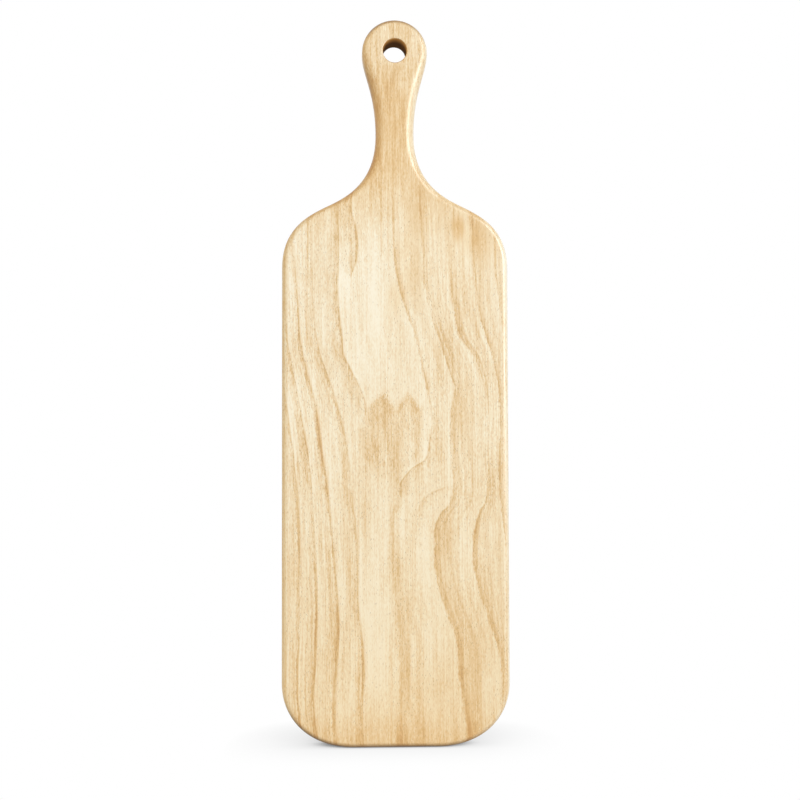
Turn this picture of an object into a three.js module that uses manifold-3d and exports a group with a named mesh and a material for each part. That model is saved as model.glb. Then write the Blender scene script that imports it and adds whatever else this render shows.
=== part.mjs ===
// A long serving board with a necked handle, sawn from one plank of pale ash.
// Millimetres. It lies flat: X is the width, Y runs along the board to the handle, Z is up.
// The origin is the middle of the underside.
import * as THREE from 'three';
import { mergeVertices } from 'three/addons/utils/BufferGeometryUtils.js';
import Module from 'manifold-3d';

// The plank
const OVERALL_LENGTH = 642;
const BLADE_WIDTH = 200;
const THICKNESS = 20;

// The handle: a round head, then a slim neck. A reach is the length of a curve's tangent arm.
const HEAD_WIDTH = 58;
const HEAD_FLANK_REACH = 17;
const NECK_WIDTH = 34;
const NECK_FROM_TOP = 102;
const NECK_UPPER_REACH = 39;
const NECK_LOWER_REACH = 48;

// The shoulders: the neck's hollow curve turns over into a round shoulder at one point,
// where the edge leans away from the length of the board
const TURN_FROM_TOP = 169;
const TURN_LEAN_DEGREES = 63;
const TURN_REACH = 17;
const SHOULDER_WIDTH = 36;
const SHOULDER_LENGTH = 53;
const SHOULDER_REACH = 33;

// The foot end and the rounded edges
const FOOT_CORNER_RADIUS = 56;
const EDGE_RADIUS = 6;
const EDGE_LEAST_FLAT = 1;

// The hang hole, in the middle of the head's arc
const HOLE_DIAMETER = 21;
const HOLE_RIM_RADIUS = 1.2;

// The finish
const WOOD_COLOUR = 0xecd5ae;
const WOOD_ROUGHNESS = 0.5;

// Facets
const CURVE_STEPS = 10;
const EDGE_STEPS = 5;
const HOLE_SIDES = 48;
const RIM_STEPS = 4;
const CUT_OVERRUN = 2;

const topEnd = OVERALL_LENGTH / 2;
const footEnd = -OVERALL_LENGTH / 2;
const halfBlade = BLADE_WIDTH / 2;
const halfNeck = NECK_WIDTH / 2;
const headRadius = HEAD_WIDTH / 2;
const headCentreY = topEnd - headRadius;
const footRadius = Math.min(FOOT_CORNER_RADIUS, halfBlade);
const edgeRadius = Math.min(EDGE_RADIUS, (THICKNESS - EDGE_LEAST_FLAT) / 2);

const wasm = await Module();
wasm.setup();

// Right half of the outline seen from above, from the middle of the foot up to the crown of the head
function halfOutline() {
  const neckY = topEnd - NECK_FROM_TOP;
  const turnX = halfBlade - SHOULDER_WIDTH;
  const turnY = topEnd - TURN_FROM_TOP;
  const sideY = turnY - SHOULDER_LENGTH;
  const lean = THREE.MathUtils.degToRad(TURN_LEAN_DEGREES);
  const armX = TURN_REACH * Math.sin(lean);
  const armY = TURN_REACH * Math.cos(lean);

  const path = new THREE.Path();
  path.moveTo(0, footEnd);
  path.lineTo(halfBlade - footRadius, footEnd);
  path.absarc(halfBlade - footRadius, footEnd + footRadius, footRadius, -Math.PI / 2, 0, false);
  path.lineTo(halfBlade, sideY);
  path.bezierCurveTo(halfBlade, sideY + SHOULDER_REACH, turnX + armX, turnY - armY, turnX, turnY);
  path.bezierCurveTo(turnX - armX, turnY + armY, halfNeck, neckY - NECK_LOWER_REACH, halfNeck, neckY);
  path.bezierCurveTo(
    halfNeck, neckY + NECK_UPPER_REACH,
    headRadius, headCentreY - HEAD_FLANK_REACH,
    headRadius, headCentreY,
  );
  path.absarc(0, headCentreY, headRadius, 0, Math.PI / 2, false);
  return path.getPoints(CURVE_STEPS);
}

// The whole outline: the left half is the right half mirrored
function boardOutline() {
  const right = halfOutline();
  const left = right.slice(1, -1).reverse().map((point) => new THREE.Vector2(-point.x, point.y));
  return new THREE.Shape([...right, ...left]);
}

// The plank, with both faces rounded over all the way round
function roundedPlank() {
  const geometry = new THREE.ExtrudeGeometry(boardOutline(), {
    depth: THICKNESS - 2 * edgeRadius,
    bevelEnabled: true,
    bevelThickness: edgeRadius,
    bevelSize: edgeRadius,
    bevelOffset: -edgeRadius,
    bevelSegments: EDGE_STEPS,
  });
  geometry.translate(0, 0, edgeRadius);
  return geometry;
}

// One rim of the hole's cutter: a quarter round from the face (depth 0) down to the bore
function rimProfile() {
  const boreRadius = HOLE_DIAMETER / 2;
  return Array.from({ length: RIM_STEPS + 1 }, (_, step) => {
    const angle = (step / RIM_STEPS) * (Math.PI / 2);
    const radius = boreRadius + HOLE_RIM_RADIUS * (1 - Math.sin(angle));
    const depth = HOLE_RIM_RADIUS * (1 - Math.cos(angle));
    return new THREE.Vector2(radius, depth);
  });
}

// The cutter for the hang hole: a bore that flares at both faces, so that the rims come out rounded
function holeCutter() {
  const lower = rimProfile();
  const upper = rimProfile().reverse().map((point) => new THREE.Vector2(point.x, THICKNESS - point.y));
  const mouthRadius = lower[0].x;
  const profile = [
    new THREE.Vector2(0, -CUT_OVERRUN),
    new THREE.Vector2(mouthRadius, -CUT_OVERRUN),
    ...lower,
    ...upper,
    new THREE.Vector2(mouthRadius, THICKNESS + CUT_OVERRUN),
    new THREE.Vector2(0, THICKNESS + CUT_OVERRUN),
  ];
  const geometry = new THREE.LatheGeometry(profile, HOLE_SIDES);
  geometry.rotateX(Math.PI / 2);
  geometry.translate(0, headCentreY, 0);
  return geometry;
}

// A closed solid from a geometry, with its shared vertices merged and its collapsed triangles left out
function solidFrom(geometry) {
  geometry.deleteAttribute('normal');
  geometry.deleteAttribute('uv');
  const merged = mergeVertices(geometry);
  const corners = merged.index.array;
  const triangles = [];
  for (let i = 0; i < corners.length; i += 3) {
    const triangle = corners.slice(i, i + 3);
    if (new Set(triangle).size === 3) {
      triangles.push(...triangle);
    }
  }
  return new wasm.Manifold(new wasm.Mesh({
    numProp: 3,
    vertProperties: new Float32Array(merged.attributes.position.array),
    triVerts: new Uint32Array(triangles),
  }));
}

function geometryFrom(solid) {
  const mesh = solid.getMesh();
  const geometry = new THREE.BufferGeometry();
  geometry.setAttribute('position', new THREE.BufferAttribute(mesh.vertProperties, mesh.numProp));
  geometry.setIndex(new THREE.BufferAttribute(mesh.triVerts, 1));
  geometry.computeVertexNormals();
  return geometry;
}

const plank = solidFrom(roundedPlank());
const drilled = plank.subtract(solidFrom(holeCutter()));
const wood = new THREE.MeshStandardMaterial({
  color: WOOD_COLOUR,
  roughness: WOOD_ROUGHNESS,
  metalness: 0,
});

const board = new THREE.Mesh(geometryFrom(drilled), wood);
board.name = 'board';

const servingBoard = new THREE.Group();
servingBoard.add(board);

export default servingBoard;
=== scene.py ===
"""A long serving board of pale ash that stands on its foot end on a white floor, seen from in front."""
import math

import bpy
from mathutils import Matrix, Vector
from mathutils.geometry import delaunay_2d_cdt


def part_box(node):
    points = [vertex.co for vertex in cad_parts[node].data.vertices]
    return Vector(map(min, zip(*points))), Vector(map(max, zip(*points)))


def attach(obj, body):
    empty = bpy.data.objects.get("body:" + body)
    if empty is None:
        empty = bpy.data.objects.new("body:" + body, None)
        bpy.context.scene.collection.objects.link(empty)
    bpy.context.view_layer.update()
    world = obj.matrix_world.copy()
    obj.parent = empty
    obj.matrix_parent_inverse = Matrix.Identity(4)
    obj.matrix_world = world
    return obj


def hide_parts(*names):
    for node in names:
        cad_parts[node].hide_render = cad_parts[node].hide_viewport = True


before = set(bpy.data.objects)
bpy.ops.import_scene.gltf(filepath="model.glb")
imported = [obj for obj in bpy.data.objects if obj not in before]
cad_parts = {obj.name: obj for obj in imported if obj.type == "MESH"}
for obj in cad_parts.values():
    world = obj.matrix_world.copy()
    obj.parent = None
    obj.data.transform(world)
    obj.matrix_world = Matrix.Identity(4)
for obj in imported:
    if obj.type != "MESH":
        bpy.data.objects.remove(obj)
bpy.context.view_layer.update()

# The board's lengths are in millimetres, and become metres where its mesh is made
MM_PER_METRE = 1000
MM = 1 / MM_PER_METRE

# The plank, as the frame has it
board_low, board_high = (Vector(corner) * MM_PER_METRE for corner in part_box("board"))
TOP_END = board_high.y
FOOT_END = board_low.y
HALF_BLADE = board_high.x
THICKNESS = board_high.z

# The handle: a round head, then a slim neck. A reach is the length of a curve's tangent arm.
HEAD_RADIUS = 29
HEAD_FLANK_REACH = 17
HALF_NECK = 17
NECK_FROM_TOP = 102
NECK_UPPER_REACH = 39
NECK_LOWER_REACH = 48
HEAD_CENTRE = Vector((0, TOP_END - HEAD_RADIUS))

# The shoulders
TURN_FROM_TOP = 169
TURN_LEAN = math.radians(63)
TURN_REACH = 17
SHOULDER_WIDTH = 36
SHOULDER_LENGTH = 53
SHOULDER_REACH = 33

# The foot corners, which ease into the foot line
CORNER_WIDTH = 64
CORNER_HEIGHT = 56
CORNER_FOOT_REACH = 41
CORNER_SIDE_REACH = 31

# The hang hole and the rounded edges, which are fuller where the hand grips (from the top)
HOLE_RADIUS = 10.5
HOLE_RIM_RADIUS = 1.2
BLADE_EDGE_RADIUS = 6.0
GRIP_EDGE_RADIUS = 9.0
GRIP_STARTS = (20, 70)
GRIP_ENDS = (110, 190)

# How finely the mesh is cut
CURVE_STEPS = 36
STRAIGHT_STEP = 9
EDGE_STEPS = 10
HOLE_SIDES = 96
RIM_STEPS = 6
FACE_GRID = 9
FACE_CLEARANCE = 0.6 * FACE_GRID

# Settings of the triangulation: only what lies inside the borders, and when two points are one
INSIDE_BORDERS = 1
SAME_POINT = 1e-6

# The numbers of the mesh's two materials
WOOD_NUMBER = 0
BORE_NUMBER = 1


def smooth_step(low, high, value):
    share = min(max((value - low) / (high - low), 0), 1)
    return share * share * (3 - 2 * share)


# The outline

def up(reach):
    return Vector((0, reach))


def line(start, end):
    count = max(1, round((end - start).length / STRAIGHT_STEP))
    return [start.lerp(end, step / count) for step in range(1, count + 1)]


def arc(centre, radius, start, end):
    points = []
    for step in range(1, CURVE_STEPS + 1):
        angle = start + (end - start) * step / CURVE_STEPS
        points.append(centre + radius * Vector((math.cos(angle), math.sin(angle))))
    return points


def bezier(start, start_arm, end_arm, end):
    points = []
    for step in range(1, CURVE_STEPS + 1):
        t = step / CURVE_STEPS
        s = 1 - t
        points.append(s ** 3 * start + 3 * s * s * t * start_arm + 3 * s * t * t * end_arm + t ** 3 * end)
    return points


def half_outline():
    """The right half seen from above, from the middle of the foot up to the crown of the head."""
    foot_middle = Vector((0, FOOT_END))
    corner_start = Vector((HALF_BLADE - CORNER_WIDTH, FOOT_END))
    corner_end = Vector((HALF_BLADE, FOOT_END + CORNER_HEIGHT))
    foot_arm = Vector((CORNER_FOOT_REACH, 0))
    turn = Vector((HALF_BLADE - SHOULDER_WIDTH, TOP_END - TURN_FROM_TOP))
    turn_arm = TURN_REACH * Vector((math.sin(TURN_LEAN), -math.cos(TURN_LEAN)))
    side_end = Vector((HALF_BLADE, turn.y - SHOULDER_LENGTH))
    neck = Vector((HALF_NECK, TOP_END - NECK_FROM_TOP))
    head_side = HEAD_CENTRE + Vector((HEAD_RADIUS, 0))

    points = [foot_middle]
    points += line(foot_middle, corner_start)
    points += bezier(corner_start, corner_start + foot_arm, corner_end - up(CORNER_SIDE_REACH), corner_end)
    points += line(corner_end, side_end)
    points += bezier(side_end, side_end + up(SHOULDER_REACH), turn + turn_arm, turn)
    points += bezier(turn, turn - turn_arm, neck - up(NECK_LOWER_REACH), neck)
    points += bezier(neck, neck + up(NECK_UPPER_REACH), head_side - up(HEAD_FLANK_REACH), head_side)
    points += arc(HEAD_CENTRE, HEAD_RADIUS, 0, math.pi / 2)
    return points


def board_outline():
    right = half_outline()
    left = [Vector((-point.x, point.y)) for point in reversed(right[1:-1])]
    return right + left


def outward_normals(loop):
    """Unit normals of a closed loop that runs anticlockwise."""
    normals = []
    for index, _ in enumerate(loop):
        along = loop[(index + 1) % len(loop)] - loop[index - 1]
        normals.append(Vector((along.y, -along.x)).normalized())
    return normals


def edge_radius(point):
    from_top = TOP_END - point.y
    grip = smooth_step(*GRIP_STARTS, from_top) - smooth_step(*GRIP_ENDS, from_top)
    return BLADE_EDGE_RADIUS + (GRIP_EDGE_RADIUS - BLADE_EDGE_RADIUS) * grip


# The mesh

class MeshParts:
    """Vertices, their normals and faces, gathered before the mesh is made."""

    def __init__(self):
        self.places = []
        self.normals = []
        self.faces = []

    def add(self, place, normal):
        self.places.append(place)
        self.normals.append(normal)
        return len(self.places) - 1

    def wall(self, rows):
        """Quads between closed rows of vertices."""
        for upper, lower in zip(rows, rows[1:]):
            for index, _ in enumerate(upper):
                self.faces.append((upper[index - 1], lower[index - 1], lower[index], upper[index]))

    def in_bore(self, face):
        """True for a face of the hole's wall, inside its rounded rims."""
        reaches = [(self.places[corner].to_2d() - HEAD_CENTRE).length for corner in face]
        return max(reaches) < HOLE_RADIUS + HOLE_RIM_RADIUS / 2


def rounded_rows(parts, loop, normals, radii, steps):
    """Rows of vertices round a wall, from its quarter round at the top face to the one at the underside."""
    rows = []
    turns = [math.pi / 2 * step / steps for step in range(steps + 1)]
    for side in (1, -1):
        for turn in turns[::side]:
            row = []
            for point, normal, radius in zip(loop, normals, radii):
                place = point - normal * radius * (1 - math.sin(turn))
                drop = radius * (1 - math.cos(turn))
                height = THICKNESS - drop if side == 1 else drop
                out = normal * math.sin(turn)
                facing = Vector((out.x, out.y, side * math.cos(turn)))
                row.append(parts.add(place.to_3d() + Vector((0, 0, height)), facing))
            rows.append(row)
    parts.wall(rows)
    return rows


def face_grid(loop, mouth_radius):
    """Points inside a face, clear of its edge and of the hole's mouth."""
    points = []
    rows = int((TOP_END - FOOT_END) / FACE_GRID)
    for row in range(1, rows):
        y = FOOT_END + row * (TOP_END - FOOT_END) / rows
        reach = [abs(point.x) for point in loop if abs(point.y - y) < FACE_GRID]
        half = int((min(reach) - FACE_CLEARANCE) / FACE_GRID) if reach else 0
        for column in range(-half, half + 1):
            point = Vector((column * FACE_GRID, y))
            near_edge = min((point - edge).length for edge in loop) < FACE_CLEARANCE
            if not near_edge and (point - HEAD_CENTRE).length > mouth_radius + FACE_CLEARANCE:
                points.append(point)
    return points


def closed_border(first, count):
    """Pairs of neighbours in a closed row of points that starts with the number given."""
    return [(first + index, first + (index + 1) % count) for index in range(count)]


def fill_faces(parts, edge_rows, bore_rows):
    """Triangles over the flat of each face, between its edge and the hole's mouth."""
    edge = [parts.places[index].to_2d() for index in edge_rows[0]]
    mouth = [parts.places[index].to_2d() for index in bore_rows[0]]
    mouth_radius = (mouth[0] - HEAD_CENTRE).length
    inner = face_grid(edge, mouth_radius)
    borders = closed_border(0, len(edge)) + closed_border(len(edge), len(mouth))
    filled = delaunay_2d_cdt(edge + mouth + inner, borders, [], INSIDE_BORDERS, SAME_POINT)
    _, _, triangles, origins, _, _ = filled
    corner_sets = [[origins[corner][0] for corner in triangle] for triangle in triangles]
    in_mouth = range(len(edge), len(edge) + len(mouth))
    kept = [corners for corners in corner_sets if not all(corner in in_mouth for corner in corners)]

    for side, edge_row, mouth_row in ((1, edge_rows[0], bore_rows[0]), (-1, edge_rows[-1], bore_rows[-1])):
        height = Vector((0, 0, THICKNESS if side == 1 else 0))
        facing = Vector((0, 0, side))
        inner_row = [parts.add(point.to_3d() + height, facing) for point in inner]
        vertices = edge_row + mouth_row + inner_row
        for corners in kept:
            parts.faces.append([vertices[corner] for corner in corners[::side]])


def make_board():
    parts = MeshParts()
    outline = board_outline()
    radii = [edge_radius(point) for point in outline]
    edge_rows = rounded_rows(parts, outline, outward_normals(outline), radii, EDGE_STEPS)

    angles = [-2 * math.pi * side / HOLE_SIDES for side in range(HOLE_SIDES)]
    spokes = [Vector((math.cos(angle), math.sin(angle))) for angle in angles]
    bore = [HEAD_CENTRE + HOLE_RADIUS * spoke for spoke in spokes]
    into_hole = [-spoke for spoke in spokes]
    bore_rows = rounded_rows(parts, bore, into_hole, [HOLE_RIM_RADIUS] * HOLE_SIDES, RIM_STEPS)
    fill_faces(parts, edge_rows, bore_rows)

    mesh = bpy.data.meshes.new("serving_board")
    mesh.from_pydata([place * MM for place in parts.places], [], parts.faces)
    mesh.update()
    mesh.shade_smooth()
    mesh.normals_split_custom_set_from_vertices(parts.normals)
    mesh.materials.append(wood_material())
    mesh.materials.append(bore_material())
    for polygon, face in zip(mesh.polygons, parts.faces):
        polygon.material_index = BORE_NUMBER if parts.in_bore(face) else WOOD_NUMBER
    board = bpy.data.objects.new("serving_board", mesh)
    bpy.context.collection.objects.link(board)
    return board


# Shader helpers

# The numbers of a mix node's inputs and output for colours
MIX_SHARE = 0
MIX_FIRST = 6
MIX_SECOND = 7
MIX_RESULT = 2


def new_material(name):
    """An empty material and its node tree."""
    material = bpy.data.materials.new(name)
    material.use_nodes = True
    material.node_tree.nodes.clear()
    return material, material.node_tree


def node(tree, kind, inputs=(), **settings):
    """A new node, with its settings, and its inputs set or linked by name or number."""
    made = tree.nodes.new(kind)
    for name, value in settings.items():
        setattr(made, name, value)
    for key, value in dict(inputs).items():
        if isinstance(value, bpy.types.NodeSocket):
            tree.links.new(value, made.inputs[key])
        else:
            made.inputs[key].default_value = value
    return made


def maths(tree, operation, first, second=0.0, third=0.0):
    return node(tree, "ShaderNodeMath", {0: first, 1: second, 2: third}, operation=operation).outputs[0]


def product(tree, *values):
    result = values[0]
    for value in values[1:]:
        result = maths(tree, "MULTIPLY", result, value)
    return result


def largest(tree, *values):
    result = values[0]
    for value in values[1:]:
        result = maths(tree, "MAXIMUM", result, value)
    return result


def weighted(tree, start, values, weights):
    """The start, plus each value times the weight of the same name."""
    total = start
    for name, weight in weights.items():
        total = maths(tree, "MULTIPLY_ADD", values[name], weight, total)
    return total


def opposite(tree, value):
    return maths(tree, "MULTIPLY", value, -1.0)


def lessened(tree, value, share):
    """1 where the value is 0, and less by the share where the value is 1."""
    return maths(tree, "MULTIPLY_ADD", value, -share, 1.0)


def ramp(tree, value, low, high, to_low=0.0, to_high=1.0):
    """The value eased from one range to another, and held at its ends."""
    settings = {"Value": value, "From Min": low, "From Max": high, "To Min": to_low, "To Max": to_high}
    return node(tree, "ShaderNodeMapRange", settings, interpolation_type="SMOOTHSTEP").outputs[0]


def straight_ramp(tree, value, low, high):
    """The value from 0 at the low end to 1 at the high end in a straight line, and held at its ends."""
    return node(tree, "ShaderNodeMapRange", {"Value": value, "From Min": low, "From Max": high}).outputs[0]


def fading(tree, distance, width):
    """1 at no distance, falling to about a third of itself over each width."""
    share = maths(tree, "DIVIDE", maths(tree, "MAXIMUM", distance, 0.0), width)
    return maths(tree, "EXPONENT", opposite(tree, share))


def curve(tree, value, points, in_reach, out_reach, pointed=False):
    """A curve through given points, smooth or pointed, for a value between minus and plus in_reach."""
    factor = maths(tree, "MULTIPLY_ADD", value, 0.5 / in_reach, 0.5)
    made = node(tree, "ShaderNodeFloatCurve", {"Value": factor})
    spots = [((x / in_reach + 1) / 2, (y / out_reach + 1) / 2) for x, y in sorted(points)]
    track = made.mapping.curves[0]
    track.points[0].location = spots[0]
    track.points[1].location = spots[-1]
    for spot in spots[1:-1]:
        track.points.new(*spot)
    for point in track.points:
        point.handle_type = "VECTOR" if pointed else "AUTO"
    made.mapping.extend = "HORIZONTAL"
    made.mapping.update()
    return maths(tree, "MULTIPLY_ADD", made.outputs[0], 2 * out_reach, -out_reach)


def in_millimetres(tree, place):
    settings = {0: place, "Scale": MM_PER_METRE}
    return node(tree, "ShaderNodeVectorMath", settings, operation="SCALE").outputs[0]


def stretched(tree, place, across, along):
    """The place in units of one streak: so wide across the grain, so long along it."""
    scale = (1 / across, 1 / along, 1 / across)
    return node(tree, "ShaderNodeVectorMath", {0: place, 1: scale}, operation="MULTIPLY").outputs[0]


def noise(tree, vector, detail=2.0):
    """Smooth noise about 0, mostly between -0.3 and 0.3."""
    settings = {"Vector": vector, "Scale": 1.0, "Detail": detail, "Roughness": 0.5}
    made = node(tree, "ShaderNodeTexNoise", settings).outputs["Fac"]
    return maths(tree, "SUBTRACT", made, 0.5)


def blend(tree, share, first, second, blend_type="MIX"):
    """One colour blended into another."""
    inputs = {MIX_SHARE: share, MIX_FIRST: first, MIX_SECOND: second}
    made = node(tree, "ShaderNodeMix", inputs, data_type="RGBA", blend_type=blend_type)
    return made.outputs[MIX_RESULT]


# The figure of the wood on the top face of one flat-sawn plank.
# Each growth line runs along the board through points (y, x). Its wood is darkest at the line
# and fades to one side, -1 for the left and 1 for the right, over the width given.
# Its strength is given at points (y, strength), and soft makes its edge wider.

ALONG_REACH = 330
ACROSS_REACH = 140

GROWTH_LINES = {
    "far_left": dict(
        side=-1, fade=5,
        points=[(320, -120), (0, -124), (-320, -118)],
        strength=[(-320, 0.6), (320, 0.6)],
    ),
    "outer_left": dict(
        side=-1, fade=5,
        points=[(320, -108), (60, -112), (-120, -104), (-320, -106)],
        strength=[(-320, 0.6), (320, 0.6)],
    ),
    "left_1": dict(
        side=-1, fade=6.5, soft=1.3,
        points=[(79, -108), (-1, -99), (-40, -93), (-84, -88), (-106, -86), (-193, -83), (-271, -86),
                (-292, -84)],
        strength=[(-310, 0.6), (-271, 0.75), (-236, 0.7), (-190, 0.9), (-120, 0.85), (-60, 0.75), (0, 0.65)],
    ),
    "left_2": dict(
        side=-1, fade=7, soft=1.3,
        points=[(79, -98), (30, -94), (-18, -85), (-75, -76), (-145, -71), (-188, -69), (-245, -70),
                (-279, -72), (-308, -69)],
        strength=[(-310, 0.55), (-245, 0.7), (-200, 0.95), (-140, 0.7), (-80, 0.95), (-20, 0.85), (20, 0.8),
                  (60, 0.5)],
    ),
    "left_3": dict(
        side=-1, fade=8.5, soft=1.3,
        points=[(120, -89), (70, -86), (30, -83), (8, -78), (-23, -70), (-58, -65), (-93, -60), (-145, -55),
                (-210, -50), (-253, -52), (-297, -53), (-316, -52)],
        strength=[(-310, 0.6), (-260, 0.75), (-220, 0.95), (-160, 0.75), (-90, 0.9), (-20, 0.95), (20, 0.85),
                  (60, 0.55), (140, 0.4)],
    ),
    "left_4": dict(
        side=-1, fade=9, soft=1.3,
        points=[(145, -74), (88, -73), (39, -70), (24, -67), (-5, -57), (-31, -49), (-66, -42), (-101, -39),
                (-145, -34), (-193, -33), (-252, -28), (-288, -30), (-316, -29)],
        strength=[(-310, 0.6), (-270, 0.8), (-240, 0.95), (-150, 0.7), (-80, 0.65), (-20, 0.9), (20, 0.85),
                  (60, 0.55), (145, 0.5)],
    ),
    "left_4_twin": dict(
        side=-1, fade=3,
        points=[(150, -76), (105, -77), (79, -76), (43, -72), (26, -69)],
        strength=[(30, 0), (50, 0.45), (150, 0.5)],
    ),
    "flame_left": dict(
        side=-1, fade=11,
        points=[(132, -50), (104, -50), (79, -51), (35, -47), (24, -46), (6, -38), (-11, -30), (-25, -26)],
        strength=[(-34, 0), (-24, 0.7), (20, 0.95), (50, 1.0), (104, 0.7), (150, 0.4)],
    ),
    "heart_upper": dict(
        side=-1, fade=10, soft=3,
        points=[(-73, 3), (-106, 3), (-132, 3), (-167, 2), (-184, 2)],
        strength=[(-196, 0), (-178, 0.4), (-110, 0.4), (-80, 0.35), (-62, 0)],
    ),
    "heart_lower": dict(
        side=1, fade=14, soft=4,
        points=[(-175, 0), (-228, 1), (-253, 4), (-314, 2)],
        strength=[(-316, 0.45), (-215, 0.45), (-180, 0)],
    ),
    "flame_right": dict(
        side=1, fade=9, soft=1.1,
        points=[(167, -2), (114, -1), (83, 3), (58, 11), (35, 19), (8, 24), (-27, 31), (-52, 30), (-68, 27),
                (-78, 14), (-92, 3)],
        strength=[(-104, 0), (-92, 0.8), (-60, 0.75), (8, 0.9), (45, 0.95), (83, 0.8), (120, 0.5),
                  (150, 0.35), (190, 0.1)],
    ),
    "nest": dict(
        side=1, fade=7, soft=2.5,
        points=[(-92, 52), (-96, 39), (-101, 29), (-110, 22), (-123, 20), (-141, 19)],
        strength=[(-150, 0), (-130, 0.3), (-98, 0.45), (-92, 0)],
    ),
    "right_1": dict(
        side=1, fade=13, soft=1.3,
        points=[(159, 21), (123, 24), (83, 26), (57, 32), (35, 39), (6, 48), (-7, 52), (-27, 49), (-58, 48),
                (-101, 50), (-110, 47), (-117, 40), (-128, 35), (-149, 34), (-180, 37), (-208, 46),
                (-228, 53), (-249, 55), (-284, 59), (-310, 63)],
        strength=[(-320, 0.5), (-230, 0.68), (-130, 0.75), (-80, 0.6), (-20, 0.75), (30, 0.85), (80, 0.78),
                  (110, 0.62), (150, 0.3)],
    ),
    "right_2": dict(
        side=1, fade=10, soft=1.3,
        points=[(132, 47), (88, 49), (52, 54), (39, 57), (23, 68), (7, 75), (-16, 79), (-62, 78), (-106, 79),
                (-115, 74), (-129, 70), (-149, 68), (-180, 72), (-206, 80), (-228, 88), (-252, 93)],
        strength=[(-320, 0.6), (-220, 0.7), (-140, 0.7), (-60, 0.6), (0, 0.7), (30, 0.65),
                  (60, 0.55), (95, 0.42), (140, 0.15)],
    ),
    "right_3": dict(
        side=1, fade=7,
        points=[(141, 68), (88, 71), (52, 76), (26, 84), (-1, 90), (-27, 92), (-75, 91), (-106, 92),
                (-141, 97)],
        strength=[(-150, 0.5), (-70, 0.7), (20, 0.6), (60, 0.65), (140, 0.55)],
    ),
    "right_4": dict(
        side=1, fade=5,
        points=[(101, 88), (74, 91), (48, 95), (-100, 104), (-320, 108)],
        strength=[(-320, 0.6), (320, 0.6)],
    ),
    "far_right": dict(
        side=1, fade=5,
        points=[(320, 112), (0, 119), (-320, 121)],
        strength=[(-320, 0.6), (320, 0.6)],
    ),
}

# Growth lines that are in order from left to right all along the board
STEADY_LINES = (
    "far_left", "outer_left", "left_1", "left_2", "left_3", "left_4",
    "right_1", "right_2", "right_3", "far_right",
)

# Across a growth line, in widths of its soft edge: where its dark side rises, and its narrow core.
# The dark side and the core have so much of the line's strength, and the pale side fades over a width.
BAND_RISE = (-1.3, 0.7)
BAND_SHARE = 0.7
CORE_EDGE = (1.7, 0.1)
CORE_SHARE = 0.35
PALE_FADE = 7.0

# A dark tongue that hangs into the pale wood below the left shoulder:
# its right edge (y, x), its tip (x, y) and its strength (y, strength)
TONGUE_EDGE = [(163, -39), (145, -38), (134, -35), (107, -34), (98, -36), (91, -39)]
TONGUE_TIP = [(-60, 116), (-50, 104), (-46, 96), (-42, 90), (-39, 91), (-36, 98), (-30, 116)]
TONGUE_TIP_EDGE = (-2, 3)
TONGUE_FADE = 15
TONGUE_STRENGTH = [(86, 0.0), (92, 0.85), (165, 0.85), (250, 0.2)]

# A mottled pool under the pale flame: its jagged top (x, y), its left side (y, x),
# how far its top is feathered, and how its tone starts at the top, the sides and the lower end
POOL_TOP = [(-34, -32), (-27, -26), (-21, -21), (-13, -13), (-6, -19), (0, -27), (5, -20), (11, -11),
            (16, -18), (21, -26), (25, -20), (31, -9)]
POOL_LEFT = [(-25, -27), (-40, -32), (-58, -33), (-78, -22), (-101, -11), (-123, -6)]
POOL_FEATHER = 24
POOL_TOP_EDGE = (-2, 3)
POOL_LEFT_EDGE = (-6, 10)
POOL_RIGHT_EDGE = (0, 12)
POOL_LOWER_EDGE = (-125, -60)
POOL_RIM_FADE = 5
POOL_TONE = 0.42
POOL_SHARE = 0.95

# Soft patches that are darker and warmer than the wood round them, or paler where the tone is below 0:
# centre x and y, half width, half length, tone
PATCHES = [
    (55.5, 134, 6, 12, 0.24),
    (62, 136, 20, 26, 0.08),
    (60, 90, 40, 60, 0.06),
    (79, 121, 18, 20, 0.10),
    (12, 110, 13, 50, 0.10),
    (27, 150, 14, 26, 0.12),
    (-11, 28, 38, 54, 0.04),
    (0, 72, 9, 16, 0.08),
    (40, -33, 7, 38, -0.12),
    (58, -33, 9, 40, 0.14),
    (21, -64, 9, 14, -0.12),
    (-13, -40, 5, 7, 0.06),
    (0, 300, 45, 40, -0.09),
    (-15, 285, 4, 34, 0.07),
    (-5, 266, 7, 14, 0.10),
    (-4, 221, 8, 8, 0.09),
    (3, 188, 8, 10, 0.07),
    (0, 225, 14, 45, 0.07),
    (-70, -20, 30, 80, -0.04),
    (72, -20, 28, 70, -0.05),
    (66, -190, 35, 60, 0.06),
    (42, -136, 8, 20, 0.12),
    (25, -149, 10, 48, -0.08),
    (60, -149, 8, 52, -0.12),
    (-15, -215, 16, 75, -0.09),
    (10, -300, 40, 40, 0.11),
    (69, -290, 9, 48, 0.14),
]
PATCH_EDGE = (1.3, 0.2)

# How the figure changes with depth below the top face, per millimetre:
# its lines close in on the middle and run along the board
FIGURE_CLOSES = 0.012
FIGURE_RUNS = 6.0

# Noises on the wood: width across the grain, length along it, and detail
NOISES = {
    "fibres": (0.6, 3, 2.0),
    "streaks": (1.2, 90, 3.0),
    "blotches": (4, 14, 3.0),
    "clouds": (22, 70, 2.0),
    "dashes": (1.0, 9, 2.0),
    "hairs": (0.7, 26, 2.0),
}

# How far noises move the figure: across the board, and its fibres along it
WANDER_WEIGHTS = {"fibres": 1.5, "blotches": 2.0}
FRAYED_BY = 3.0

# Fine lines that follow the growth lines: so many from one to the next, so long
FINE_LINE_COUNT = 8.0
FINE_LINE_LENGTH = 110
FINE_LINE_DETAIL = 4.0

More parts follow.
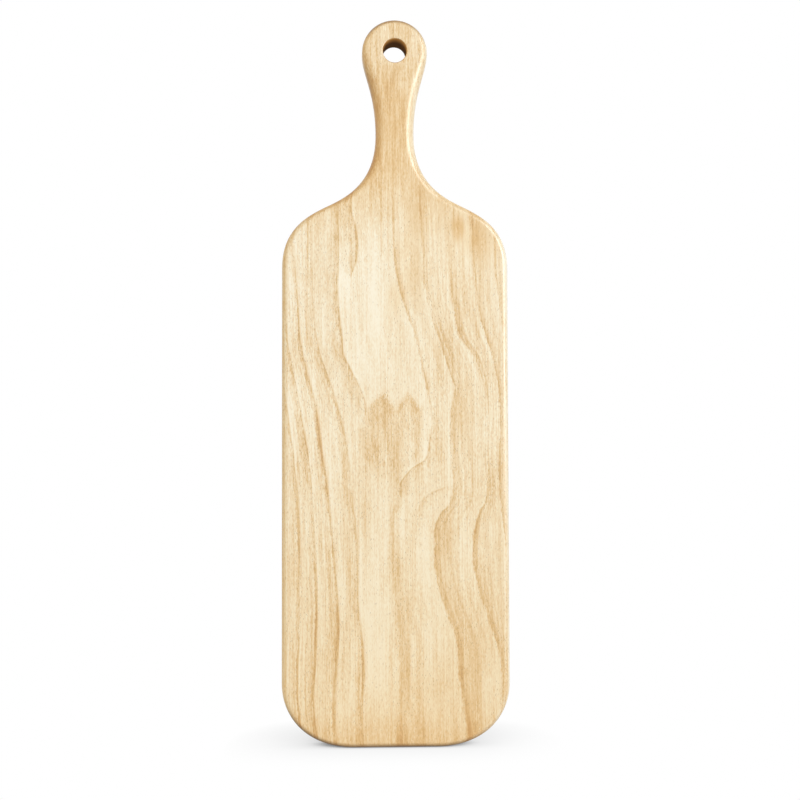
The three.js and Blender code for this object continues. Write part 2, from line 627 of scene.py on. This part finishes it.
# Stretches of the board, from where each starts to where it is full
HANDLE_STRETCH = (110, 200)
LOWER_STRETCH = (-190, -310)
FOOT_STRETCH = (-285, -318)
RIGHT_STRETCH = (0, 70)

# How noises break up the dark of the growth lines
UNEVEN_WEIGHTS = {"blotches": 0.8, "fine_lines": 2.0, "clouds": 1.2, "dashes": 1.6}

# The tone of the wood, from 0 for pale to 1 for dark: where it starts, and what each thing adds.
# The left edge weights add painted shade, and the right edge weights a painted pale sheen;
# the crown and foot weights are partly the end grain's own tone and partly painted shade
BASE_TONE = 0.19
TONE_WEIGHTS = {
    "growth": 0.7,
    "pale_side": -0.04,
    "fine_lines": 0.7,
    "fibres": 0.95,
    "streaks": 0.85,
    "clouds": 0.4,
    "blotches": 0.2,
    "handle": 0.40,
    "handle_blotches": 0.3,
    "handle_streaks": -0.4,
    "handle_hairs": 0.9,
    "handle_left_edge": 0.18,
    "lower_stretch": 0.04,
    "foot_stretch": 0.24,
    "right_stretch": 0.08,
    "patches": 1.0,
    # Below: the ends are partly end grain and partly painted shade, the left edge is painted shade, and the
    # right edge a painted pale sheen
    "crown_end_and_shade": 0.2,
    "foot_end_and_shade": 0.5,
    "left_edge": 0.08,
    "right_edge": -0.36,
    "handle_right_edge": -0.05,
}
WOOD_TONES = [
    (0.00, (0.987, 0.903, 0.717)),
    (0.20, (0.945, 0.829, 0.609)),
    (0.45, (0.876, 0.698, 0.447)),
    (0.75, (0.776, 0.548, 0.276)),
    (1.00, (0.652, 0.400, 0.167)),
]

# The warm tint: how much of it the grip has from the head down, where it grows towards the foot,
# how strongly patches have it, and how much less of it the right edge has, where a pale sheen is painted
WARM_TINT = (0.985, 0.91, 0.785, 1)
GRIP_WARMTH = (300, 225, 0.1, 0.75)
FOOT_WARMTH = (80, -320)
PATCH_WARMTH = 4.0
RIGHT_SHEEN_LESS_WARMTH = 0.6

# End grain at the crown and the foot, and the edges: the ways that they face, and their tints and painted
# shade.
# The tint is painted shade on the left edge, and partly the end grain's own tone and partly painted shade at
# the ends;
# the crown's dark rim is partly end grain and partly painted shade, and the foot's dark rim is painted
# contact shade.
# The right shoulder and the right of the foot, where the light falls, have less of them.
SHADE_AND_ENDS_TINT = (0.98, 0.83, 0.56, 1)
FOOT_TINT_SHARE = 0.25
CROWN_END_AND_SHADE_FACING = (0.2, 0.8)
CROWN_RIM_TINT_AND_SHADE = (0.48, 0.42, 0.34, 1)
CROWN_RIM_TINT_AND_SHADE_FACING = (0.1, 0.72)
CROWN_RIM_TINT_AND_SHADE_SHARE = (190, 270, 0.25, 1)
FOOT_CONTACT_SHADE = (0.32, 0.30, 0.27, 1)
FOOT_CONTACT_SHADE_EDGE = (0.1, 0.95)
SHOULDER_STRETCH = (270, 190)
RIGHT_FACING = (0.0, 0.5)
RIGHT_SHOULDER_SHADE_CUT = 0.6
RIGHT_FOOT_SHADE_CUT = 0.6

# Pores: the size of the cell that each may lie in, its soft edge, and in which share of the cells one lies
PORE_COLOUR = (0.42, 0.25, 0.11, 1)
PORE_STRENGTH = 0.6
PORE_WIDTH = 0.9
PORE_LENGTH = 2.8
PORE_EDGE = (0.36, 0.12)
PORE_CHANCE_EDGE = (-0.1, 0.1)
PORE_SHARE = 0.12
PORE_SHARE_WEIGHTS = {"dark": 1.0, "clouds": 0.6}

# The oiled surface
BASE_ROUGHNESS = 0.25
ROUGHNESS_WEIGHTS = {"foot_end_and_shade": 0.4, "streaks": 0.15}
OIL_IOR = 1.5
OIL_SPECULAR = 0.5
PORE_DEPTH = 0.6
BUMP_STRENGTH = 0.12
BUMP_DISTANCE = 0.0001

# The hole's wall: its colours at the mouth and deep inside, partly the end grain's own tone and partly
# painted shade that darkens with depth, and the marks of the drill as width, length and height
BORE_DEEP_SHADE = (0.18, 0.095, 0.042, 1)
BORE_MOUTH_COLOUR = (0.66, 0.34, 0.10, 1)
BORE_MARKS = (0.8, 2)
BORE_MARK_HEIGHT = 4.0
BORE_ROUGHNESS = 0.9


def growth_band_group():
    """A node group: how dark the wood is on one side of a growth line, and how pale on the other."""
    tree = bpy.data.node_groups.new("growth_band", "ShaderNodeTree")
    for name in ("Across", "Line", "Strength", "Fade", "Side", "Softness"):
        tree.interface.new_socket(name, in_out="INPUT", socket_type="NodeSocketFloat")
    for name in ("Dark", "Pale"):
        tree.interface.new_socket(name, in_out="OUTPUT", socket_type="NodeSocketFloat")
    given = node(tree, "NodeGroupInput").outputs
    offset = maths(tree, "SUBTRACT", given["Across"], given["Line"])
    beyond = maths(tree, "MULTIPLY", offset, given["Side"])
    in_widths = maths(tree, "DIVIDE", beyond, given["Softness"])
    edge = ramp(tree, in_widths, *BAND_RISE)
    away = maths(tree, "SUBTRACT", 1.0, edge)
    dark_side = product(tree, fading(tree, beyond, given["Fade"]), edge, BAND_SHARE)
    near_line = ramp(tree, maths(tree, "ABSOLUTE", in_widths), *CORE_EDGE, 0.0, CORE_SHARE)
    core = maths(tree, "DIVIDE", near_line, given["Softness"])
    dark = product(tree, maths(tree, "ADD", dark_side, core), given["Strength"])
    pale = product(tree, fading(tree, opposite(tree, beyond), PALE_FADE), away, given["Strength"])
    node(tree, "NodeGroupOutput", {"Dark": dark, "Pale": pale})
    return tree


class WoodSpot:
    """Where a spot of the wood lies, how it faces, and its noises, as sockets of one material's tree."""

    def __init__(self, tree):
        coordinates = node(tree, "ShaderNodeTexCoord").outputs
        self.tree = tree
        self.place = in_millimetres(tree, coordinates["Object"])
        self.x, self.y, self.z = node(tree, "ShaderNodeSeparateXYZ", {0: self.place}).outputs
        self.handle = ramp(tree, self.y, *HANDLE_STRETCH)
        self.noises = {}
        for name, (across, along, detail) in NOISES.items():
            self.noises[name] = noise(tree, stretched(tree, self.place, across, along), detail)

        facing_x, facing_y, _ = node(tree, "ShaderNodeSeparateXYZ", {0: coordinates["Normal"]}).outputs
        # Painted shade on the left edge, and a painted pale sheen on the right edge, by the way a spot faces
        self.left_edge = maths(tree, "MAXIMUM", opposite(tree, facing_x), 0.0)
        self.right_edge = maths(tree, "MAXIMUM", facing_x, 0.0)
        self.ends_and_painted_shade(facing_x, facing_y)

    def ends_and_painted_shade(self, facing_x, facing_y):
        """How much a spot faces the crown or the foot, and its shares of the tint and painted shade at the
        ends and edges.
        """
        tree = self.tree
        # Less painted shade on the right shoulder, where the light falls
        below_head = ramp(tree, self.y, *SHOULDER_STRETCH)
        shoulder_in_light = product(tree, below_head, ramp(tree, facing_x, *RIGHT_FACING))
        away_from_lit_shoulder = lessened(tree, shoulder_in_light, RIGHT_SHOULDER_SHADE_CUT)
        self.crown_end_and_shade = product(tree, ramp(tree, facing_y, *CROWN_END_AND_SHADE_FACING), away_from_lit_shoulder)
        crown_share = product(tree, away_from_lit_shoulder, ramp(tree, self.y, *CROWN_RIM_TINT_AND_SHADE_SHARE))
        self.crown_rim_tint_and_shade = product(tree, ramp(tree, facing_y, *CROWN_RIM_TINT_AND_SHADE_FACING), crown_share)

        # The foot's dark rim is painted contact shade, less on the right, where the light falls
        self.foot_end_and_shade = maths(tree, "MAXIMUM", opposite(tree, facing_y), 0.0)
        foot_contact_rim = product(tree, self.foot_end_and_shade, lessened(tree, facing_x, RIGHT_FOOT_SHADE_CUT))
        self.foot_contact_shade = ramp(tree, foot_contact_rim, *FOOT_CONTACT_SHADE_EDGE)
        both_ends = maths(tree, "MULTIPLY_ADD", self.foot_end_and_shade, FOOT_TINT_SHARE, self.crown_end_and_shade)
        self.shade_and_ends_tint = largest(tree, self.left_edge, both_ends)


class AshFigure:
    """The growth lines, tongue and pool, as sockets of one material's tree."""

    def __init__(self, tree, spot):
        self.tree = tree
        fibres = spot.noises["fibres"]
        depth = maths(tree, "SUBTRACT", THICKNESS, spot.z)
        spread = maths(tree, "MULTIPLY_ADD", depth, FIGURE_CLOSES, 1.0)
        wander = weighted(tree, 0.0, spot.noises, WANDER_WEIGHTS)
        frayed = maths(tree, "MULTIPLY_ADD", fibres, FRAYED_BY, spot.y)
        self.across = maths(tree, "MULTIPLY_ADD", spot.x, spread, wander)
        self.along = maths(tree, "MULTIPLY_ADD", depth, FIGURE_RUNS, frayed)

        self.band_group = growth_band_group()
        self.places = {name: self.down_the_board(line["points"]) for name, line in GROWTH_LINES.items()}
        self.dark = 0.0
        self.pale = 0.0
        for name, line in GROWTH_LINES.items():
            dark, pale = self.band(self.places[name], **{key: line[key] for key in line if key != "points"})
            self.dark = largest(tree, self.dark, dark)
            self.pale = largest(tree, self.pale, pale)
        self.pool = self.mottled_pool(fibres)
        self.dark = largest(tree, self.dark, self.tongue(), product(tree, self.pool, POOL_SHARE))
        self.fine_lines = self.lines_between()

    def down_the_board(self, points):
        return curve(self.tree, self.along, points, ALONG_REACH, ACROSS_REACH)

    def over_the_board(self, points, pointed=False):
        return curve(self.tree, self.across, points, ACROSS_REACH, ALONG_REACH, pointed)

    def band(self, line, side, fade, strength, soft=1.0):
        inputs = {
            "Across": self.across,
            "Line": line,
            "Strength": curve(self.tree, self.along, strength, ALONG_REACH, 1),
            "Fade": fade,
            "Side": side,
            "Softness": soft,
        }
        made = node(self.tree, "ShaderNodeGroup", inputs, node_tree=self.band_group)
        return made.outputs["Dark"], made.outputs["Pale"]

    def order(self):
        """A number that grows by one from each steady line to the next."""
        total = 0.0
        for left, right in zip(STEADY_LINES, STEADY_LINES[1:]):
            step = straight_ramp(self.tree, self.across, self.places[left], self.places[right])
            total = maths(self.tree, "ADD", total, step)
        return total

    def lines_between(self):
        """Fine lines that follow the growth lines."""
        count = product(self.tree, self.order(), FINE_LINE_COUNT)
        length = product(self.tree, self.along, 1 / FINE_LINE_LENGTH)
        flow = node(self.tree, "ShaderNodeCombineXYZ", {"X": count, "Y": length}).outputs[0]
        return noise(self.tree, flow, FINE_LINE_DETAIL)

    def tongue(self):
        dark, _ = self.band(self.down_the_board(TONGUE_EDGE), -1, TONGUE_FADE, TONGUE_STRENGTH)
        above_tip = maths(self.tree, "SUBTRACT", self.along, self.over_the_board(TONGUE_TIP))
        return product(self.tree, dark, ramp(self.tree, above_tip, *TONGUE_TIP_EDGE))

    def mottled_pool(self, ragged):
        tree = self.tree
        feathered = maths(tree, "MULTIPLY_ADD", ragged, POOL_FEATHER, self.along)
        below_rim = maths(tree, "SUBTRACT", self.over_the_board(POOL_TOP, pointed=True), feathered)
        filled = ramp(tree, below_rim, *POOL_TOP_EDGE)
        rim = product(tree, filled, fading(tree, below_rim, POOL_RIM_FADE))
        inside_left = maths(tree, "SUBTRACT", self.across, self.down_the_board(POOL_LEFT))
        inside_right = maths(tree, "SUBTRACT", self.places["flame_right"], self.across)
        dark = product(tree, maths(tree, "ADD", rim, filled), POOL_TONE)
        return product(
            tree,
            dark,
            ramp(tree, inside_left, *POOL_LEFT_EDGE),
            ramp(tree, inside_right, *POOL_RIGHT_EDGE),
            ramp(tree, self.along, *POOL_LOWER_EDGE),
        )


def soft_patches(tree, spot):
    """How much darker, or paler below 0, the patches make a spot."""
    ragged = maths(tree, "ADD", spot.noises["streaks"], spot.noises["fibres"])
    total = 0.0
    for centre_x, centre_y, half_width, half_length, tone in PATCHES:
        across = maths(tree, "DIVIDE", maths(tree, "SUBTRACT", spot.x, centre_x), half_width)
        along = maths(tree, "DIVIDE", maths(tree, "SUBTRACT", spot.y, centre_y), half_length)
        squares = maths(tree, "MULTIPLY_ADD", across, across, maths(tree, "MULTIPLY", along, along))
        distance = maths(tree, "ADD", maths(tree, "SQRT", squares), ragged)
        total = maths(tree, "MULTIPLY_ADD", ramp(tree, distance, *PATCH_EDGE), tone, total)
    return total


def wood_tone(tree, spot, figure, patches):
    """How dark a spot is: the sum of its weighted values, with painted shade and light on the edges and ends
    among them.
    """
    values = {**spot.noises, "fine_lines": figure.fine_lines}
    uneven = weighted(tree, 1.0, values, UNEVEN_WEIGHTS)
    values.update({
        "growth": product(tree, figure.dark, uneven),
        "pale_side": figure.pale,
        "handle": spot.handle,
        "lower_stretch": ramp(tree, spot.y, *LOWER_STRETCH),
        "foot_stretch": ramp(tree, spot.y, *FOOT_STRETCH),
        "right_stretch": ramp(tree, spot.x, *RIGHT_STRETCH),
        "patches": patches,
        "crown_end_and_shade": spot.crown_end_and_shade,
        "foot_end_and_shade": product(tree, spot.foot_end_and_shade, spot.foot_end_and_shade),
        "left_edge": spot.left_edge,
        "right_edge": spot.right_edge,
    })
    for name in ("blotches", "streaks", "hairs", "left_edge", "right_edge"):
        values["handle_" + name] = product(tree, spot.handle, values[name])
    return weighted(tree, BASE_TONE, values, TONE_WEIGHTS)


def wood_warmth(tree, spot, figure, patches):
    """A spot's share of the warm tint, less on the right edge, where a pale sheen is painted."""
    grip = product(tree, spot.handle, ramp(tree, spot.y, *GRIP_WARMTH))
    foot = straight_ramp(tree, spot.y, *FOOT_WARMTH)
    warmth = largest(tree, grip, foot, product(tree, patches, PATCH_WARMTH), figure.pool)
    return product(tree, warmth, lessened(tree, spot.right_edge, RIGHT_SHEEN_LESS_WARMTH))


def pores(tree, spot, figure):
    """Short dark dashes along the grain, in a share of the cells that they may lie in."""
    values = {"dark": figure.dark, "clouds": spot.noises["clouds"]}
    share = weighted(tree, PORE_SHARE, values, PORE_SHARE_WEIGHTS)
    vector = stretched(tree, spot.place, PORE_WIDTH, PORE_LENGTH)
    cells = node(tree, "ShaderNodeTexVoronoi", {"Vector": vector, "Scale": 1.0}).outputs
    chance = node(tree, "ShaderNodeSeparateColor", {0: cells["Color"]}).outputs[0]
    shape = ramp(tree, cells["Distance"], *PORE_EDGE)
    here = ramp(tree, maths(tree, "SUBTRACT", share, chance), *PORE_CHANCE_EDGE)
    return product(tree, shape, here)


def tone_colour(tree, tone):
    made = node(tree, "ShaderNodeValToRGB", {"Fac": tone})
    stops = made.color_ramp.elements
    while len(stops) < len(WOOD_TONES):
        stops.new(0.5)
    for stop, (position, colour) in zip(stops, WOOD_TONES):
        stop.position = position
        stop.color = (*colour, 1)
    return made.outputs["Color"]


def wood_material():
    """Oiled ash: its tone as a colour, then its tints and painted shade, then its pores."""
    material, tree = new_material("oiled_ash")
    spot = WoodSpot(tree)
    figure = AshFigure(tree, spot)
    patches = soft_patches(tree, spot)
    colour = tone_colour(tree, wood_tone(tree, spot, figure, patches))
    # The warm tint; painted shade on the left edge and at the ends, partly end grain; the crown's rim,
    # partly end grain and partly painted shade; the foot's painted contact shade
    for share, tint in (
        (wood_warmth(tree, spot, figure, patches), WARM_TINT),
        (spot.shade_and_ends_tint, SHADE_AND_ENDS_TINT),
        (spot.crown_rim_tint_and_shade, CROWN_RIM_TINT_AND_SHADE),
        (spot.foot_contact_shade, FOOT_CONTACT_SHADE),
    ):
        colour = blend(tree, share, colour, tint, "MULTIPLY")
    pore_marks = pores(tree, spot, figure)
    colour = blend(tree, product(tree, pore_marks, PORE_STRENGTH), colour, PORE_COLOUR)

    values = {"foot_end_and_shade": spot.foot_end_and_shade, "streaks": spot.noises["streaks"]}
    height = maths(tree, "MULTIPLY_ADD", pore_marks, -PORE_DEPTH, spot.noises["fibres"])
    bump = node(tree, "ShaderNodeBump", {
        "Height": height,
        "Strength": BUMP_STRENGTH,
        "Distance": BUMP_DISTANCE,
    })
    surface = node(tree, "ShaderNodeBsdfPrincipled", {
        "Base Color": colour,
        "Roughness": weighted(tree, BASE_ROUGHNESS, values, ROUGHNESS_WEIGHTS),
        "Normal": bump.outputs[0],
        "IOR": OIL_IOR,
        "Specular IOR Level": OIL_SPECULAR,
    })
    node(tree, "ShaderNodeOutputMaterial", {"Surface": surface.outputs[0]})
    return material


def bore_material():
    """The dull wall of the hang hole: raw end grain, with painted shade that darkens it the deeper it lies.
    """
    material, tree = new_material("bore_wall_with_painted_shade")
    place = in_millimetres(tree, node(tree, "ShaderNodeTexCoord").outputs["Object"])
    height = node(tree, "ShaderNodeSeparateXYZ", {0: place}).outputs["Z"]
    marks = noise(tree, stretched(tree, place, *BORE_MARKS))
    marked_height = maths(tree, "MULTIPLY_ADD", marks, BORE_MARK_HEIGHT, height)
    # Painted shade: darker the deeper it lies in the hole
    deep = ramp(tree, marked_height, THICKNESS, THICKNESS / 2)
    surface = node(tree, "ShaderNodeBsdfPrincipled", {
        "Base Color": blend(tree, deep, BORE_MOUTH_COLOUR, BORE_DEEP_SHADE),
        "Roughness": BORE_ROUGHNESS,
        "Specular IOR Level": 0.0,
    })
    node(tree, "ShaderNodeOutputMaterial", {"Surface": surface.outputs[0]})
    return material


# The stage, in metres. The board stands on its foot end, so the floor is square to its length,
# and what lies below its underside is the white background.

WHITE = (1, 1, 1, 1)
FLOOR_GREY = (0.75, 0.75, 0.75, 1)
FLOOR_GAP = 0.0005
FLOOR_REACH = 3.0

# The floor's shadow: how far from the board it reaches, the side that its soft light comes from,
# and how light it is (the second number) where so much of that light reaches it (the first)
SHADOW_REACH = 0.065
SHADOW_LIGHT = (0.15, 0.72, 0.68)
SHADOW_TONES = [(0, 0), (0.25, 0.12), (0.34, 0.29), (0.42, 0.49), (0.5, 0.67), (0.58, 0.78), (0.68, 0.845),
                (0.78, 0.885), (0.9, 0.945), (1, 1)]

# Soft light from the half in front of the board, strongest from straight ahead and from the foot's side,
# and the level of the light from the white background behind it
AMBIENT_LEVEL = 0.695
AMBIENT_TILT = (0.02, -0.25, 0.61)
BACKDROP_LEVEL = 0.4

# Two lamps at one place that aim at the board: a soft key, and a strip that shows only as a highlight
LAMP_PLACE = Vector((3.4, 1.5, 3.25))
KEY_SIZE = (4.0, 2.4)
KEY_POWER = 70
STRIP_SIZE = (4.0, 2.0)
STRIP_POWER = 215

# The camera, a little left of the board's middle, with its turns in degrees
SENSOR_WIDTH = 36
LENS = 40.5
LENS_SHIFT = 0.037
CAMERA_PLACE = (-0.0429, -0.03925, 0.80835)
CAMERA_TURNS = (1.542, -1.5, -0.108)


def rays_that_see(tree):
    """Two values: 1 for rays straight from the camera or through glass, and 1 for mirrored rays."""
    path = node(tree, "ShaderNodeLightPath").outputs
    straight = maths(tree, "MAXIMUM", path["Is Camera Ray"], path["Is Transmission Ray"])
    return straight, path["Is Glossy Ray"]


def floor_material():
    """White with a soft shadow where it is seen, grey where it only gives light, and clear from below."""
    material, tree = new_material("white_floor")
    straight, mirrored = rays_that_see(tree)
    seen = maths(tree, "MAXIMUM", straight, mirrored)
    light_side = node(tree, "ShaderNodeCombineXYZ", dict(enumerate(SHADOW_LIGHT))).outputs[0]
    settings = {"Distance": SHADOW_REACH, "Normal": light_side}
    open_sky = node(tree, "ShaderNodeAmbientOcclusion", settings).outputs["AO"]
    brightness = curve(tree, open_sky, SHADOW_TONES, 1, 1)
    shown = node(tree, "ShaderNodeEmission", {"Color": WHITE, "Strength": brightness})
    dim = node(tree, "ShaderNodeBsdfDiffuse", {"Color": FLOOR_GREY})
    top = node(tree, "ShaderNodeMixShader", {0: seen, 1: dim.outputs[0], 2: shown.outputs[0]})
    clear = node(tree, "ShaderNodeBsdfTransparent")
    below = node(tree, "ShaderNodeNewGeometry").outputs["Backfacing"]
    one_sided = node(tree, "ShaderNodeMixShader", {0: below, 1: top.outputs[0], 2: clear.outputs[0]})
    node(tree, "ShaderNodeOutputMaterial", {"Surface": one_sided.outputs[0]})
    return material


def make_floor():
    mesh = bpy.data.meshes.new("floor")
    corners = [(-1, -1), (-1, 1), (1, 1), (1, -1)]
    places = [(x * FLOOR_REACH, FOOT_END * MM - FLOOR_GAP, z * FLOOR_REACH) for x, z in corners]
    mesh.from_pydata(places, [], [(0, 1, 2, 3)])
    mesh.materials.append(floor_material())
    floor = bpy.data.objects.new("floor", mesh)
    bpy.context.collection.objects.link(floor)


def make_world():
    world = bpy.data.worlds.new("studio")
    world.use_nodes = True
    tree = world.node_tree
    tree.nodes.clear()
    towards = node(tree, "ShaderNodeTexCoord").outputs["Generated"]
    height = node(tree, "ShaderNodeSeparateXYZ", {0: towards}).outputs["Z"]
    leaning = node(tree, "ShaderNodeVectorMath", {0: towards, 1: AMBIENT_TILT}, operation="DOT_PRODUCT")
    ambient = maths(tree, "ADD", leaning.outputs["Value"], AMBIENT_LEVEL)
    straight, mirrored = rays_that_see(tree)
    backdrop = maths(tree, "MAXIMUM", mirrored, BACKDROP_LEVEL)
    behind = maths(tree, "LESS_THAN", height, 0.0)
    around = node(tree, "ShaderNodeMix", {"Factor": behind, "A": ambient, "B": backdrop}).outputs[0]
    strength = maths(tree, "MAXIMUM", around, straight)
    background = node(tree, "ShaderNodeBackground", {"Color": WHITE, "Strength": strength})
    node(tree, "ShaderNodeOutputWorld", {"Surface": background.outputs[0]})
    bpy.context.scene.world = world


def add_lamp(name, size, power, only_in_gloss=False):
    light = bpy.data.lights.new(name, "AREA")
    light.shape = "RECTANGLE"
    light.size, light.size_y = size
    light.energy = power
    lamp = bpy.data.objects.new(name, light)
    lamp.location = LAMP_PLACE
    lamp.visible_diffuse = not only_in_gloss
    aim = -LAMP_PLACE
    lamp.rotation_euler = aim.to_track_quat("-Z", "Y").to_euler()
    bpy.context.collection.objects.link(lamp)


def make_lamps():
    add_lamp("key", KEY_SIZE, KEY_POWER)
    add_lamp("strip", STRIP_SIZE, STRIP_POWER, only_in_gloss=True)


def make_camera():
    camera = bpy.data.cameras.new("camera")
    camera.sensor_width = SENSOR_WIDTH
    camera.lens = LENS
    camera.shift_x = LENS_SHIFT
    holder = bpy.data.objects.new("camera", camera)
    holder.location = CAMERA_PLACE
    holder.rotation_euler = [math.radians(turn) for turn in CAMERA_TURNS]
    bpy.context.collection.objects.link(holder)
    bpy.context.scene.camera = holder


make_camera()
make_world()
make_lamps()
make_floor()

serving_board = make_board()
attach(serving_board, "root")
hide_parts("board")

bpy.context.scene.view_settings.view_transform = "Standard"
